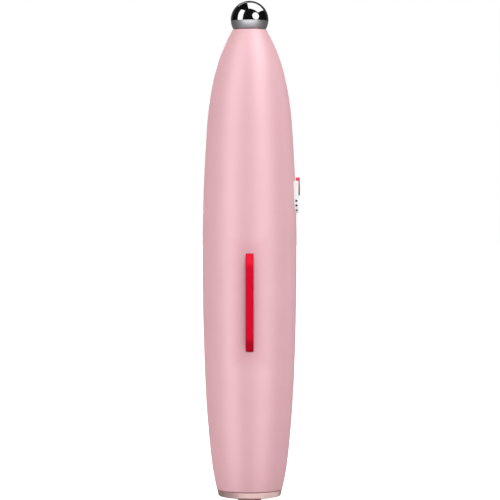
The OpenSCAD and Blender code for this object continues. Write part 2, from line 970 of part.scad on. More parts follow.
groove_low = 5.5;
groove_high = 7.5;
groove_depth = 0.9;
groove_r = tail_bore_r + groove_depth;
bush_set_back = 0.6;
bush_rise = 0.9;
bush_bore_r = tail_bore_r - fit_gap / 2 - bush_wall;
spigot_r = bush_bore_r - run_gap;
spigot_in = spigot_r - spigot_wall;
module_r = spigot_in - fit_gap;
return_lead_y = -(bush_bore_r + tail_bore_r) / 2;
thread_relief = 0.3;
thread_low = spigot_top - thread_turns * thread_pitch;
cap_top_r = tail_end_r - fit_gap;
step_w = 0.4;
step_r = module_r - step_w;
button_hole_r = button_r + fit_gap;
button_flange_w = 1.1;
button_flange_r = button_r + button_flange_w;
button_edge = 0.6;
flange_seat = cap_floor + run_gap;
plunger_r = 1.1;
plunger_in = 0.4;
seal_section_r = 0.36;
seal_ring_r = (spigot_r + tail_bore_r) / 2;
retainer_in = 3.2;
module_high = module_low + module_h;
spring_turns = 3;
cell_spring_r = 2.3;
cell_spring_wire = 0.5;
button_spring_r = 3.2;
button_spring_wire = 0.36;

module tail_bush() {
  color(brass)
    difference() {
      union() {
        rod(tail_bore_r - fit_gap / 2, body_low + bush_rise, cavity_low - bush_set_back);
        rod(groove_r - fit_gap, groove_low + fit_gap, groove_high - fit_gap);
      }
      rod(bush_bore_r, body_low, cavity_low);
      rod(bush_bore_r + thread_relief, body_low, thread_low);
    }
}

module cap_seal() {
  color(charcoal)
    rotate_extrude($fn = round_fn)
      translate([seal_ring_r, cap_floor + seal_section_r + run_gap])
        circle(r = seal_section_r, $fn = small_fn);
}

module tail_cap() {
  rim_r = cap_top_r - cap_taper;
  color(champagne)
    difference() {
      union() {
        rotate_extrude($fn = round_fn)
          union() {
            polygon([
              [0, 0],
              [rim_r - cap_edge, 0],
              [rim_r, cap_edge],
              [cap_top_r, cap_floor],
              [0, cap_floor]
            ]);
            translate([rim_r - cap_edge, cap_edge])
              circle(r = cap_edge, $fn = small_fn);
          }
        rod(spigot_r, cap_edge, spigot_top);
      }
      rod(button_hole_r, -past, cap_floor + past);
      rod(step_r, cap_floor, module_low);
      rod(spigot_in, module_low, spigot_top + past);
    }
}

module tail_switch() {
  color(charcoal)
    difference() {
      rod(module_r, module_low, module_high);
      rod(plunger_r + run_gap, module_low - past, module_low + plunger_in + button_travel + fit_gap);
    }
}

module switch_plunger() {
  color(white)
    rod(plunger_r, flange_seat + button_flange_t, module_low + plunger_in, small_fn);
}

module switch_retainer() {
  color(brass)
    ring(module_r + run_gap, retainer_in, module_high, spigot_top);
}

module tail_button() {
  color(mauve) {
    rotate_extrude($fn = round_fn)
      union() {
        translate([0, -button_proud])
          square([button_r - button_edge, button_edge]);
        translate([0, button_edge - button_proud])
          square([button_r, button_proud - button_edge + flange_seat + button_flange_t]);
        translate([button_r - button_edge, button_edge - button_proud])
          circle(r = button_edge, $fn = small_fn);
      }
    rod(button_flange_r, flange_seat, flange_seat + button_flange_t);
  }
}

module button_spring() {
  color(steel)
    coil(button_spring_r, button_spring_wire, spring_turns, flange_seat + button_flange_t, module_low);
}

module negative_spring() {
  color(steel)
    coil(cell_spring_r, cell_spring_wire, spring_turns, module_high, cell_low);
}

// The lead from the tail bush to the front of the board
module return_lead() {
  color("black")
    lead(
      [return_lead_y, cavity_low - bush_set_back],
      [-board_y - lead_d / 2 - run_gap, board_low + lead_on_board]
    );
}

// Shells

locator_low = 20;
locator_drop = 22;
locator_z = [locator_low, belly_z, body_top - locator_drop];

module locators(r, length) {
  for (side = [-1, 1], z = locator_z)
    rod_y(r, side * (outline_r(z) - wall / 2), z, -length, past);
}

// Both shells as one, hollow and open at the nose and the tail
module casing() {
  difference() {
    outer_form();
    revolved_outline(wall, cavity_low, nose_shoulder_z);
    rod(bush_r + fit_gap, nose_shoulder_z - past, body_top + past);
    rod(tail_bore_r, body_low - past, cavity_low + past);
    rod(groove_r, groove_low, groove_high);
    plate_block(fit_gap, plate_floor_x, far);
    slider_slot(carriage_out - past, far, plate_high);
  }
}

module half_space(side) {
  block([-far, side < 0 ? -far : 0, -far], [far, side < 0 ? 0 : far, far]);
}

module front_shell() {
  color(pink)
    difference() {
      union() {
        intersection() {
          casing();
          half_space(-1);
        }
        intersection() {
          block(
            [-bar_flange_w / 2 - pad_margin, -far, flange_low - pad_margin],
            [bar_flange_w / 2 + pad_margin, -bar_seat_y, flange_high + pad_margin]
          );
          revolved_outline(wall / 2);
        }
      }
      bar_space(seam_gap, flange_front);
      block(
        [-bar_flange_w / 2 - fit_gap, -bar_seat_y, flange_low - fit_gap],
        [bar_flange_w / 2 + fit_gap, 0, flange_high + fit_gap]
      );
      locators(locator_r + fit_gap / 2, locator_len + fit_gap);
    }
}

module rear_shell() {
  color(pink)
    difference() {
      union() {
        intersection() {
          casing();
          half_space(1);
        }
        intersection() {
          for (z = arm_z)
            rod_y(boss_r, 0, z, arm_back, far);
          revolved_outline(wall / 2);
        }
        locators(locator_r, locator_len);
      }
      for (z = arm_z)
        rod_y(pilot_r, 0, z, arm_back - past, arm_back + pilot_len);
    }
}

front_shell();
rear_shell();
ball_electrode();
electrode_collar();
nose_seal();
nose_bush();
terminal_ring();
spring_washer();
stud_nut();
electrode_lead();
mode_bar();
bar_gasket();
key_switches();
key_stems();
switch_plate();
index_dots();
slide_cap();
slide_carriage();
slide_switch();
slide_lever();
side_board();
header_pins();
inner_frame();
frame_screws();
circuit_board();
board_screws();
control_chip();
output_coil();
board_parts();
battery_cell();
battery_tip();
positive_contact();
negative_spring();
tail_bush();
return_lead();
cap_seal();
tail_cap();
tail_switch();
switch_plunger();
switch_retainer();
tail_button();
button_spring();
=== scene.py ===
"""Looks of the facial pen: smooth meshes for the pieces that show, procedural finishes, light and camera."""

import math

import bmesh
import bpy
from mathutils import Matrix, Vector


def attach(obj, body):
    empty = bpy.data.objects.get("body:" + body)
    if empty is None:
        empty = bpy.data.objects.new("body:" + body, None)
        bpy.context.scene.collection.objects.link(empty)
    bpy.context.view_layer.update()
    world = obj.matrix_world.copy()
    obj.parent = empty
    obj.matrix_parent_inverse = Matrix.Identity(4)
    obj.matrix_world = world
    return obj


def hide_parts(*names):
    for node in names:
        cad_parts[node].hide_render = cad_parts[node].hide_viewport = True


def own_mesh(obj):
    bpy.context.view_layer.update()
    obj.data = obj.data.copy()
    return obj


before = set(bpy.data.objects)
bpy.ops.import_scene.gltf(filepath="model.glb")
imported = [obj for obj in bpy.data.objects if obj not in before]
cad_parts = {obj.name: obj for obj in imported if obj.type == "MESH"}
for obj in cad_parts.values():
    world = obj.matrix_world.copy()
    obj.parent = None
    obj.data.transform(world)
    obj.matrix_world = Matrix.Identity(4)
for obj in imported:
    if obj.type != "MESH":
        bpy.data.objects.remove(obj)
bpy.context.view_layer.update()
scene = bpy.context.scene
MM = 0.001

# Sizes repeated from the CAD source, in millimetres
BODY_R, BELLY_Z, BODY_TOP, BODY_LOW, TAIL_END_R = 14.1, 72.0, 139.15, 1.6, 9.8
NOSE_SLOPES, NOSE_SHARE = (29, 11.7, 4.2), 0.59
TAIL_SLOPES, TAIL_SHARE = (13.5, 6.4, 2.3), 0.23
WALL, END_EDGE, FIT_GAP, RUN_GAP = 1.8, 0.3, 0.1, 0.05
BALL_R, BALL_RISE, COLLAR_DROP, COLLAR_INSET = 5.64, 3.05, 0.45, 0.25
SEAL_T, STUD_R, STUD_LOW = 0.2, 1.5, 129.5
NOSE_DEPTH, BUSH_R, CAVITY_LOW, TAIL_WALL = 5.0, 2.5, 11.0, 2.0
BAR_W, BAR_LOW, BAR_LEN, BAR_PROUD, BAR_END_PROUD, BAR_SLOPE = 2.1, 43.6, 28.8, 1.8, 0.4, 3.4
BAR_FLANGE_W, BAR_FLANGE_PAST, BAR_FLANGE_T, BAR_PAD_T, BAR_GASKET_T = 5.2, 1.2, 0.8, 0.2, 0.3
POST_R, POST_INSET, POST_BACK = 1.3, 5, -9.9
PLATE_LOW, PLATE_LEN, PLATE_W, PLATE_PROUD, PLATE_T, PLATE_CORNER = 84.3, 9.7, 8.0, 0.6, 1.9, 3.0
SLOT_W, SLIDE_TRAVEL, SLOT_END_GAP, WEB_LEN, WEB_W, WEB_IN = 2.4, 4.2, 0.2, 1.9, 2.0, 10.0
THUMB_W, THUMB_T, THUMB_LEN, THUMB_REST_H, REST_GAP = 4.0, 0.4, 5.4, 1.05, 0.15
DOT_DEPTH, DOT_PITCH, DOT_FIRST = 0.4, 1.35, 1.0
CAP_EDGE, CAP_TAPER, CAP_FLOOR, CAP_STEP = 0.5, 0.3, 1.5, 0.4
BUSH_WALL, SPIGOT_WALL, SPIGOT_TOP, THREAD_PITCH, THREAD_TURNS = 1.15, 1.15, 9.4, 1.25, 2
BUTTON_R, BUTTON_PROUD, BUTTON_EDGE, BUTTON_TRAVEL = 3.5, 2.0, 0.6, 1.2
BUTTON_FLANGE_W, BUTTON_FLANGE_T, SWITCH_LOW = 1.1, 0.8, 5.0
SPRING_R, SPRING_WIRE, SPRING_TURNS = 3.2, 0.36, 3
CELL_LOW, CELL_HIGH = 11.6, 55.1

# Sizes of the looks alone: the seam round the bar, the dots, how far the cap's underside hangs, and the
# lacquer's painted shade round the bar, which reaches this far from the bar and fades from this far in front of
# the axis
BAR_GAP, DOT_R, CAP_UNDER, PAINTED_SHADE_REACH, PAINTED_SHADE_FRONT = 0.05, 0.33, 0.36, 6.5, 11.8

# Places that follow from the sizes, apart from those that need the outline
NOSE_END_R = math.sqrt(BALL_R**2 - (BALL_RISE - SEAL_T) ** 2) + COLLAR_INSET
BALL_Z = BODY_TOP + BALL_RISE
COLLAR_TOP = BALL_Z - COLLAR_DROP
BAR_HIGH = BAR_LOW + BAR_LEN
PLATE_HIGH = PLATE_LOW + PLATE_LEN
THUMB_TOP = PLATE_HIGH + THUMB_REST_H
SLOT_LOW = PLATE_HIGH - FIT_GAP - WEB_LEN - SLIDE_TRAVEL - SLOT_END_GAP
TAIL_BORE_R = TAIL_END_R - TAIL_WALL
FLANGE_SEAT = CAP_FLOOR + RUN_GAP
SPRING_LOW, SPRING_HIGH = FLANGE_SEAT + BUTTON_FLANGE_T, SWITCH_LOW


# The body's outline

def three_arcs(width, height, a, b, c, share):
    """Radii of the three arcs from an end of the outline to the belly, end arc first."""
    a, b, c = map(math.radians, (a, b, c))
    across = share * (math.cos(b) - math.cos(a)) + math.cos(c) - math.cos(b)
    along = share * (math.sin(a) - math.sin(b)) + math.sin(b) - math.sin(c)
    det = across * math.sin(c) - along * (1 - math.cos(c))
    middle = (width * math.sin(c) - height * (1 - math.cos(c))) / det
    return share * middle, middle, (across * height - along * width) / det


def arc_chain(width, height, slopes, share, side):
    """The arcs (centre, radius, angle, angle) from the belly to one end; side is 1 upwards, -1 downwards."""
    a, b, c = slopes
    end, middle, long_one = three_arcs(width, height, a, b, c, share)
    b, c, a = math.radians(b), math.radians(c), math.radians(a)
    c0 = (BODY_R - long_one, BELLY_Z)
    c1 = (c0[0] + (long_one - middle) * math.cos(c), c0[1] + side * (long_one - middle) * math.sin(c))
    c2 = (c1[0] + (middle - end) * math.cos(b), c1[1] + side * (middle - end) * math.sin(b))
    return [(c0, long_one, 0, side * c), (c1, middle, side * c, side * b), (c2, end, side * b, side * a)]


UPPER = arc_chain(BODY_R - NOSE_END_R, BODY_TOP - BELLY_Z, NOSE_SLOPES, NOSE_SHARE, 1)
LOWER = arc_chain(BODY_R - TAIL_END_R, BELLY_Z - BODY_LOW, TAIL_SLOPES, TAIL_SHARE, -1)


def outline_r(z, inset=0.0):
    """Radius of the body at height z, with the outline moved in by inset."""
    for chain, side in ((UPPER, 1), (LOWER, -1)):
        if side * (z - BELLY_Z) < 0:
            continue
        for i, (centre, radius, _, last) in enumerate(chain):
            limit = centre[1] + (radius - inset) * math.sin(last)
            if i == 2 or side * (z - limit) <= 0:
                return centre[0] + math.sqrt((radius - inset) ** 2 - (z - centre[1]) ** 2)
    raise ValueError(z)


PLATE_FACE = outline_r(PLATE_LOW) + PLATE_PROUD
PLATE_FLOOR = PLATE_FACE - PLATE_T
FLANGE_FRONT = BAR_PAD_T - outline_r(BAR_LOW - BAR_FLANGE_PAST, WALL) + BAR_GASKET_T


# Points, in millimetres

def steps(a, b, count):
    return [a + (b - a) * i / count for i in range(count + 1)]


def arc(cx, cy, r, a0, a1, count):
    """Points on an arc, angles in degrees."""
    angles = [math.radians(a) for a in steps(a0, a1, count)]
    return [(cx + r * math.cos(a), cy + r * math.sin(a)) for a in angles]


def circle(x, y, z, r, count=32):
    """Points on a circle that faces along Y."""
    angles = [math.tau * k / count for k in range(count)]
    return [(x + r * math.cos(a), y, z + r * math.sin(a)) for a in angles]


def mirrored(right, z):
    """A loop at height z from the (x, y) points of its right side."""
    return [(x, y, z) for x, y in right] + [(-x, y, z) for x, y in reversed(right)]


# Mesh helpers

def make(name, verts, faces, smooth_angle=32.0):
    """A mesh object from points in millimetres, smooth except across edges sharper than the angle."""
    bm = bmesh.new()
    made = [bm.verts.new(Vector(v) * MM) for v in verts]
    for f in faces:
        if len(set(f)) > 2:
            bm.faces.new([made[i] for i in f])
    bmesh.ops.remove_doubles(bm, verts=bm.verts, dist=1e-7)
    bmesh.ops.recalc_face_normals(bm, faces=bm.faces)
    mesh = bpy.data.meshes.new(name)
    bm.to_mesh(mesh)
    bm.free()
    obj = bpy.data.objects.new(name, mesh)
    scene.collection.objects.link(obj)
    smooth(obj, smooth_angle)
    return obj


def smooth(obj, angle=32.0):
    mesh = obj.data
    mesh.polygons.foreach_set("use_smooth", [True] * len(mesh.polygons))
    mesh.set_sharp_from_angle(angle=math.radians(angle))
    mesh.update()


def lathe(name, profile, count=192, start=0.0, turn=360.0, groove=0.0, outer=0):
    """Revolves a closed profile of (radius, height). A part turn gets flat ends; groove draws the first outer
    points in at those ends, which leaves a fine V where two halves meet."""
    groove_angle = 0.55
    full = turn >= 360
    angles = [start + turn * i / count for i in range(count if full else count + 1)]
    if not full:
        angles = [angles[0], angles[0] + groove_angle, *angles[1:-1], angles[-1] - groove_angle, angles[-1]]
    n, verts, faces = len(profile), [], []
    for k, a in enumerate(angles):
        ends = not full and k in (0, len(angles) - 1)
        for i, (r, z) in enumerate(profile):
            r = r - groove if ends and i < outer else r
            verts.append((r * math.cos(math.radians(a)), r * math.sin(math.radians(a)), z))
    rows = len(angles)
    for k in range(rows if full else rows - 1):
        k2 = (k + 1) % rows
        for i in range(n):
            j = (i + 1) % n
            if profile[i][0] < 1e-6 and profile[j][0] < 1e-6:
                continue
            faces.append((k * n + i, k2 * n + i, k2 * n + j, k * n + j))
    if not full:
        faces.append(tuple(range(n)))
        faces.append(tuple(range((rows - 1) * n, rows * n)))
    return make(name, verts, faces)


def loft(name, loops, angle=32.0):
    """A closed solid through loops of as many points each."""
    n = len(loops[0])
    verts = [p for loop in loops for p in loop]
    faces = [tuple(range(n)), tuple(range((len(loops) - 1) * n, len(loops) * n))]
    for k in range(len(loops) - 1):
        for i in range(n):
            j = (i + 1) % n
            faces.append((k * n + i, k * n + j, (k + 1) * n + j, (k + 1) * n + i))
    return make(name, verts, faces, angle)


def block(name, low, high):
    corners = ((low[0], low[1]), (high[0], low[1]), (high[0], high[1]), (low[0], high[1]))
    return loft(name, [[(x, y, z) for x, y in corners] for z in (low[2], high[2])])


def settle(obj):
    """Applies the object's modifiers."""
    made = bpy.data.meshes.new_from_object(obj.evaluated_get(bpy.context.evaluated_depsgraph_get()))
    old = obj.data
    obj.modifiers.clear()
    obj.data = made
    made.name = obj.name
    bpy.data.meshes.remove(old)
    smooth(obj)
    return obj


def combine(obj, tools, operation="DIFFERENCE"):
    """Cuts the tools out of the object, or joins them to it, and removes them."""
    for tool in tools:
        mod = obj.modifiers.new("combine", "BOOLEAN")
        mod.operation, mod.solver, mod.object = operation, "EXACT", tool
        bpy.context.view_layer.update()
        settle(obj)
        bpy.data.objects.remove(tool)
    return obj


def bevel(obj, width):
    """Rounds the object's sharp edges."""
    mod = obj.modifiers.new("bevel", "BEVEL")
    mod.width, mod.segments, mod.limit_method = width * MM, 3, "ANGLE"
    mod.angle_limit = math.radians(40)
    bpy.context.view_layer.update()
    return settle(obj)


def join(name, parts):
    """One object from several that touch or lie apart."""
    bm = bmesh.new()
    for p in parts:
        bm.from_mesh(p.data)
        bpy.data.objects.remove(p)
    mesh = bpy.data.meshes.new(name)
    bm.to_mesh(mesh)
    bm.free()
    obj = bpy.data.objects.new(name, mesh)
    scene.collection.objects.link(obj)
    smooth(obj)
    return obj


# Materials

class Finish:
    """A Principled material built from a few procedural parts, in object coordinates (metres)."""

    def __init__(self, name, rough, metallic=0.0, **sockets):
        self.mat = bpy.data.materials.new(name)
        self.mat.use_nodes = True
        self.tree = self.mat.node_tree
        self.tree.nodes.clear()
        self.out = self.add("ShaderNodeOutputMaterial")
        self.bsdf = self.add("ShaderNodeBsdfPrincipled")
        self.wire(self.bsdf.outputs["BSDF"], self.out.inputs["Surface"])
        self.coord = self.add("ShaderNodeTexCoord").outputs["Object"]
        self.bsdf.inputs["Roughness"].default_value = rough
        self.bsdf.inputs["Metallic"].default_value = metallic
        for key, value in sockets.items():
            self.bsdf.inputs[key.replace("_", " ")].default_value = value
        self.height = None

    def add(self, kind, **values):
        node = self.tree.nodes.new(kind)
        for key, value in values.items():
            setattr(node, key, value)
        return node

    def wire(self, a, b):
        self.tree.links.new(a, b)

    def axis(self, letter):
        """One of the object coordinates."""
        node = self.add("ShaderNodeSeparateXYZ")
        self.wire(self.coord, node.inputs["Vector"])
        return node.outputs[letter]

    def stretched(self, scale):
        """Object coordinates times a scale per axis."""
        node = self.add("ShaderNodeMapping")
        node.inputs["Scale"].default_value = scale
        self.wire(self.coord, node.inputs["Vector"])
        return node.outputs["Vector"]

    def noise(self, size, scale=(1, 1, 1), detail=2.0, rough=0.5):
        node = self.add("ShaderNodeTexNoise")
        node.inputs["Scale"].default_value = size
        node.inputs["Detail"].default_value = detail
        node.inputs["Roughness"].default_value = rough
        self.wire(self.stretched(scale), node.inputs["Vector"])
        return node.outputs["Fac"]

    def cells(self, size, feature="F1"):
        node = self.add("ShaderNodeTexVoronoi", feature=feature)
        node.inputs["Scale"].default_value = size
        self.wire(self.stretched((1, 1, 1)), node.inputs["Vector"])
        return node.outputs["Distance"]

    def ranged(self, value, low, high, from_low=0.3, from_high=0.7, **values):
        """Takes value from the range from_low to from_high to the range low to high."""
        node = self.add("ShaderNodeMapRange", **values)
        ends = {"From Min": from_low, "From Max": from_high, "To Min": low, "To Max": high}
        for key, number in ends.items():
            node.inputs[key].default_value = number
        self.wire(value, node.inputs["Value"])
        return node.outputs["Result"]

    def colours(self, value, *stops):
        """Base colour from value through (place, colour) stops."""
        ramp = self.add("ShaderNodeValToRGB")
        items = ramp.color_ramp.elements
        while len(items) < len(stops):
            items.new(0.5)
        for item, (place, colour) in zip(items, stops):
            item.position = place
            item.color = (*colour, 1)
        self.wire(value, ramp.inputs["Fac"])
        self.wire(ramp.outputs["Color"], self.bsdf.inputs["Base Color"])
        return ramp

    def math(self, operation, *values):
        node = self.add("ShaderNodeMath", operation=operation)
        for socket, value in zip(node.inputs, values):
            if isinstance(value, float):
                socket.default_value = value
            else:
                self.wire(value, socket)
        return node.outputs["Value"]

    def paint_bar_shade(self, ramp, share):
        """Painted shade round the bar's opening: takes the colour down to a share of itself there, and fades
        out away from it.
        """
        beside = self.math("SUBTRACT", self.math("ABSOLUTE", self.axis("X")), BAR_W / 2 * MM)
        along = self.math("SUBTRACT", self.axis("Z"), (BAR_LOW + BAR_LEN / 2) * MM)
        along = self.math("SUBTRACT", self.math("ABSOLUTE", along), BAR_LEN / 2 * MM)
        behind = self.math("ADD", self.axis("Y"), PAINTED_SHADE_FRONT * MM)
        away = self.math("MAXIMUM", self.math("MAXIMUM", beside, along), behind)
        fade = self.ranged(away, 1.0, 0.0, 0.0, PAINTED_SHADE_REACH * MM, interpolation_type="SMOOTHSTEP")
        mix = self.add("ShaderNodeMix", data_type="RGBA", blend_type="MULTIPLY")
        sockets = {socket.name: socket for socket in mix.inputs if socket.enabled}
        self.wire(fade, sockets["Factor"])
        self.wire(ramp.outputs["Color"], sockets["A"])
        sockets["B"].default_value = (*share, 1)
        result = [socket for socket in mix.outputs if socket.enabled][0]
        self.wire(result, self.bsdf.inputs["Base Color"])

    def rough(self, value, low, high):
        self.wire(self.ranged(value, low, high), self.bsdf.inputs["Roughness"])

    def bump(self, value, strength, distance):
        """A height in millimetres, stacked on the bumps before it."""
        node = self.add("ShaderNodeBump")
        node.inputs["Strength"].default_value = strength
        node.inputs["Distance"].default_value = distance * MM
        self.wire(value, node.inputs["Height"])
        if self.height:
            self.wire(self.height, node.inputs["Normal"])
        self.height = node.outputs["Normal"]
        self.wire(self.height, self.bsdf.inputs["Normal"])


def tints(colour, spread):
    """Stops for the colour, from a little darker to a little lighter."""
    def times(factor):
        return tuple(min(1.0, c * factor) for c in colour)

    return (0.3, times(1 - spread)), (0.7, times(1 + spread))


def lacquer(name, colour, rough, spread=0.02, painted_shade_at_bar=None, **sockets):
    """Satin lacquer: a faint cloud in the colour, fine flake and a soft orange peel. The share given for the
    bar is
    how much of the colour is left beside it: painted shade round the bar's opening."""
    f = Finish(name, rough, **sockets)
    ramp = f.colours(f.noise(90, detail=3), *tints(colour, spread))
    if painted_shade_at_bar:
        f.paint_bar_shade(ramp, painted_shade_at_bar)
    f.rough(f.noise(420, detail=3), rough - 0.025, rough + 0.025)
    f.bump(f.noise(700, detail=2), 0.12, 0.01)
    f.bump(f.cells(9000), 0.06, 0.004)
    return f.mat


def moulded(name, colour, rough, spread=0.03):
    """Moulded plastic: fine spark-eroded grain and slight gloss changes."""
    f = Finish(name, rough)
    f.colours(f.noise(160, detail=2), *tints(colour, spread))
    f.rough(f.noise(900, detail=3), rough - 0.05, rough + 0.05)
    f.bump(f.noise(5200, detail=2), 0.15, 0.012)
    return f.mat


def metal(name, colour, rough, lines_z, size, spread=0.04, strength=0.1, metallic=1.0):
    """Metal with fine tool lines round its axis; lines_z is how many times closer they lie along Z."""
    f = Finish(name, rough, metallic)
    lines = f.noise(size, (1, 1, lines_z), detail=4, rough=0.65)
    f.colours(lines, *tints(colour, spread))
    f.rough(lines, rough - 0.04, rough + 0.05)
    f.bump(lines, strength, 0.004)
    f.bump(f.noise(2600, detail=2), strength / 2, 0.003)
    return f.mat


# The pink lacquer is darkened round the bar's opening: painted shade
pink_shell = lacquer("pink_shell", (0.618, 0.335, 0.372), 0.54, painted_shade_at_bar=(0.93, 0.83, 0.86),
                     Specular_IOR_Level=0.25)
crimson_bar = lacquer("crimson_bar", (0.385, 0.0, 0.012), 0.36, spread=0.03, Specular_IOR_Level=0.06)
white_plastic = moulded("white_plastic", (0.9, 0.92, 0.915), 0.42, spread=0.015)
dark_plastic = moulded("dark_plastic", (0.03, 0.03, 0.033), 0.45)
dark_rubber = moulded("dark_rubber", (0.018, 0.018, 0.02), 0.7)
mauve_button = moulded("mauve_button", (0.6, 0.37, 0.375), 0.5)
red_wire = moulded("red_wire", (0.5, 0.01, 0.01), 0.35)
black_wire = moulded("black_wire", (0.015, 0.015, 0.016), 0.35)
polished_metal = metal("polished_metal", (0.95, 0.95, 0.96), 0.045, 1, 400, spread=0.01, strength=0.01)
satin_metal = metal("satin_metal", (0.61, 0.615, 0.63), 0.5, 60, 90, metallic=0.9)
champagne_metal = metal("champagne_metal", (0.73, 0.5, 0.485), 0.42, 60, 90, metallic=0.75)
brass = metal("brass", (0.72, 0.5, 0.2), 0.3, 50, 110)
steel = metal("steel", (0.6, 0.61, 0.63), 0.3, 30, 200)


def hot_pink_with_painted_shade():
    """Pink that darkens down the slider's leg: painted shade towards the leg's lower end."""
    f = Finish("hot_pink", 0.42, Specular_IOR_Level=0.25)
    # Colour by height on the leg, darker lower down: painted shade
    height = f.ranged(f.axis("Z"), 0, 1, (THUMB_TOP - THUMB_LEN) * MM, THUMB_TOP * MM)
    f.colours(height, (0.0, (0.1, 0.02, 0.03)), (0.25, (0.22, 0.02, 0.035)), (0.58, (0.62, 0.03, 0.075)),
              (0.78, (0.95, 0.1, 0.2)))
    f.rough(f.noise(900, detail=3), 0.37, 0.47)
    f.bump(f.noise(5200, detail=2), 0.15, 0.012)
    return f.mat


def board_finish():
    """Solder mask over glass cloth."""
    f = Finish("board_green", 0.32, Coat_Weight=0.3)
    weave = f.cells(1300, "DISTANCE_TO_EDGE")
    f.colours(weave, (0.0, (0.006, 0.075, 0.035)), (0.12, (0.01, 0.12, 0.055)), (1.0, (0.012, 0.14, 0.062)))
    f.rough(f.noise(500), 0.26, 0.38)
    f.bump(weave, 0.2, 0.02)
    return f.mat


def cell_finish():
    """The cell's plain printed wrap: a pale band at the top over a dark one."""
    dark, pale = (0.03, 0.035, 0.04), (0.7, 0.55, 0.3)
    f = Finish("cell_case", 0.28, 0.3)
    height = f.ranged(f.axis("Z"), 0, 1, CELL_LOW * MM, CELL_HIGH * MM)
    ramp = f.colours(height, (0.0, dark), (0.68, dark), (0.7, pale))
    ramp.color_ramp.interpolation = "CONSTANT"
    f.rough(f.noise(300, (1, 1, 8)), 0.22, 0.34)
    f.bump(f.noise(500, (1, 1, 3)), 0.1, 0.01)
    return f.mat


hot_pink = hot_pink_with_painted_shade()
board_green = board_finish()
cell_case = cell_finish()

FINISHES = {
    "nose_seal bar_gasket cap_seal": dark_rubber,
    "nose_bush terminal_ring header_pins positive_contact tail_bush switch_retainer": brass,
    "spring_washer stud_nut slide_switch frame_screws board_screws battery_tip negative_spring": steel,
    "key_switches slide_lever control_chip output_coil tail_switch": dark_plastic,
    "key_stems slide_carriage inner_frame board_parts switch_plunger": white_plastic,
    "side_board circuit_board": board_green,
    "electrode_lead": red_wire,
    "return_lead": black_wire,
    "battery_cell": cell_case,
}
for names, finish in FINISHES.items():
    for name in names.split():
        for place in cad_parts[name].material_slots:
            place.material = finish


def piece(obj, mat, body, slot, *stands_for):
    """Gives the object its material and body, and hides the nodes that it stands for. slot is not used."""
    obj.data.materials.clear()
    obj.data.materials.append(mat)
    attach(obj, body)
    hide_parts(*stands_for)
    return obj


# Shells

def shell_profile():
    """Closed profile of the casing, outside first, and how many of its points lie outside."""
    low_z, high_z = BODY_LOW + END_EDGE, BODY_TOP - END_EDGE
    outside = arc(outline_r(low_z, END_EDGE), low_z, END_EDGE, -90, -TAIL_SLOPES[0], 6)
    outside += [(outline_r(z), z) for z in steps(low_z, high_z, 180)[1:-1]]
    outside += arc(outline_r(high_z, END_EDGE), high_z, END_EDGE, NOSE_SLOPES[0], 90, 6)
    shoulder = BODY_TOP - NOSE_DEPTH
    inside = [(BUSH_R + FIT_GAP, BODY_TOP), (BUSH_R + FIT_GAP, shoulder)]
    inside += [(outline_r(z, WALL), z) for z in steps(shoulder, CAVITY_LOW, 90)]
    inside += [(TAIL_BORE_R, CAVITY_LOW), (TAIL_BORE_R, BODY_LOW)]
    return outside + inside, len(outside)


def plate_loop(grow, x, slot=False):
    """The plate's outline seen from the side, grown by grow, at x. slot opens it for the slider."""
    half, corner = PLATE_W / 2 + grow, PLATE_CORNER + grow
    low, high = PLATE_LOW - grow, PLATE_HIGH + grow
    pts = [(-half, high)]
    pts += arc(-half + corner, low + corner, corner, 180, 270, 16)
    pts += arc(half - corner, low + corner, corner, 270, 360, 16)
    pts += [(half, high)]
    if slot:
        side, end, inner = SLOT_W / 2 - grow, SLOT_LOW + grow, 0.15
        pts += [(side, high), *arc(side - inner, end + inner, inner, 0, -90, 4)]
        pts += [*arc(-side + inner, end + inner, inner, 270, 180, 4), (-side, high)]
    return [(x, y, z) for y, z in pts]


def bar_cutter():
    """The bar's opening, whose edge rounds over into the shell's surface."""
    half, edge, deep, far = BAR_W / 2 + BAR_GAP, 0.1, -9.5, -17.0
    low, high = BAR_LOW - BAR_GAP, BAR_HIGH + BAR_GAP

    def loop(z, depth, y_in):
        top = -math.sqrt(outline_r(z) ** 2 - (half + depth) ** 2)
        inner = top + depth if y_in is None else y_in
        right = [(half, inner), *arc(half + depth, top + depth, depth, 180, 270, 5), (half + depth, far)]
        return mirrored(right, z)

    loops = []
    for k in range(6):
        t = edge * (1 - k / 5)
        depth = edge - math.sqrt(max(0.0, edge**2 - (edge - t) ** 2))
        loops.append((low - t, max(depth, 0.004), None))
    middle = [(z, edge, deep) for z in steps(low, high, 40)]
    loops = loops + middle + [(high + (low - z), d, y) for z, d, y in reversed(loops)]
    return loft("bar_cutter", [loop(*row) for row in loops])


def casing_half(name, start, *more_tools):
    """The half that begins at the angle start, cut out for the switch and by more_tools."""
    profile, outer = shell_profile()
    half = lathe(name, profile, 150, start, 180.0, groove=0.09, outer=outer)
    inside, past = 9.5, 20
    tools = [
        loft("recess", [plate_loop(FIT_GAP, PLATE_FLOOR), plate_loop(FIT_GAP, past)]),
        block("slot", (inside, -SLOT_W / 2, SLOT_LOW), (past, SLOT_W / 2, PLATE_HIGH)),
    ]
    return combine(half, [*tools, *more_tools])


front = casing_half("front_casing", 180, bar_cutter())
rear = casing_half("rear_casing", 0)
piece(front, pink_shell, "casing", "pink_shell", "front_shell")
piece(rear, pink_shell, "casing", "pink_shell", "rear_shell")


# Ball tip

def sphere_r(z):
    return math.sqrt(max(0.0, BALL_R**2 - (z - BALL_Z) ** 2))


def ball_profile():
    """The stud, and the part of the ball that stands out of the collar."""
    split = math.degrees(math.asin(-COLLAR_DROP / BALL_R))
    pts = [(0, STUD_LOW), (STUD_R, STUD_LOW), (STUD_R, COLLAR_TOP)]
    pts += [(sphere_r(COLLAR_TOP) - 0.05, COLLAR_TOP), *arc(0, BALL_Z, BALL_R, split + 0.5, 90, 96)]
    return pts


